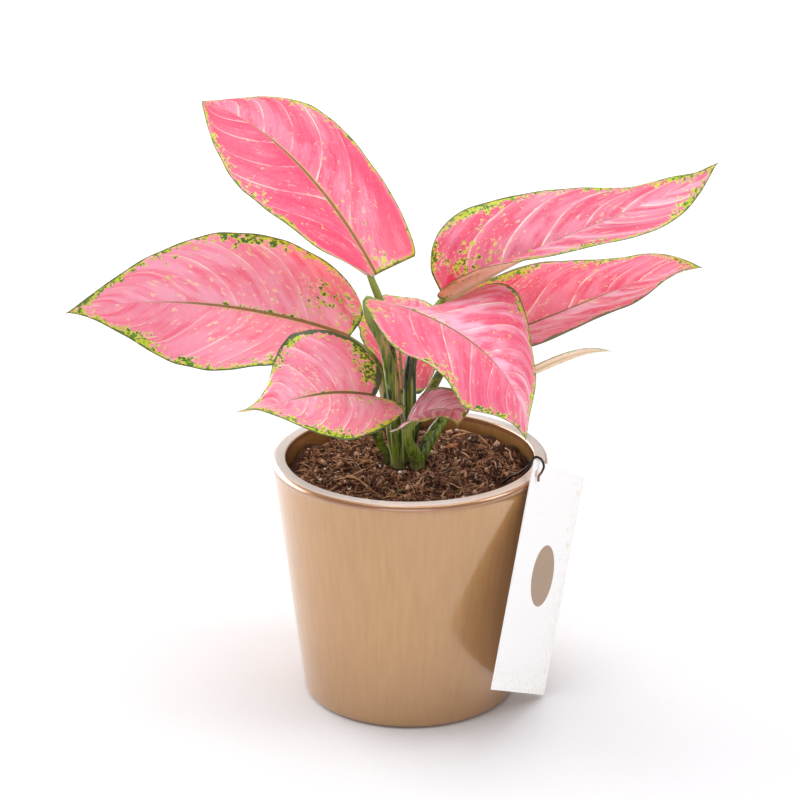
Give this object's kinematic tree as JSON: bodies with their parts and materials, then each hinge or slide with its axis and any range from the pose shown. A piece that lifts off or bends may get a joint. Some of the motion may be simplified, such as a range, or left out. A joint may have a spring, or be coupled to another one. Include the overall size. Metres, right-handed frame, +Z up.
{
  "type": "potted chinese evergreen",
  "caption": "Pink-leaved Chinese evergreen in a tapered round glazed pot of soil, with a blank tag card hung over the rim on a wire hook.",
  "frame": {"origin": "middle of the pot's flat underside", "axes": "+Z up along the pot's axis, front at -Y, the tag card hangs on the right at +X"},
  "size_m": [0.3219, 0.1876, 0.2975],
  "materials": {
    "pot_glaze": "satin",
    "soil": "matte",
    "stem": "satin",
    "leaf": "gloss",
    "card": "matte",
    "wire": "satin"
  },
  "bodies": {
    "root": {"pot": "pot_glaze", "potting_soil": "soil", "stems_left": "stem", "stems_middle": "stem", "stems_right": "stem", "stems_lone": "stem", "leaf_top": "leaf", "leaf_left": "leaf", "leaf_low": "leaf", "leaf_front": "leaf", "leaf_right_high": "leaf", "leaf_right_middle": "leaf", "leaf_back": "leaf", "leaf_right_low": "leaf", "leaf_small": "leaf", "tag_card": "card", "tag_hook": "wire"}
  },
  "joints": []
}
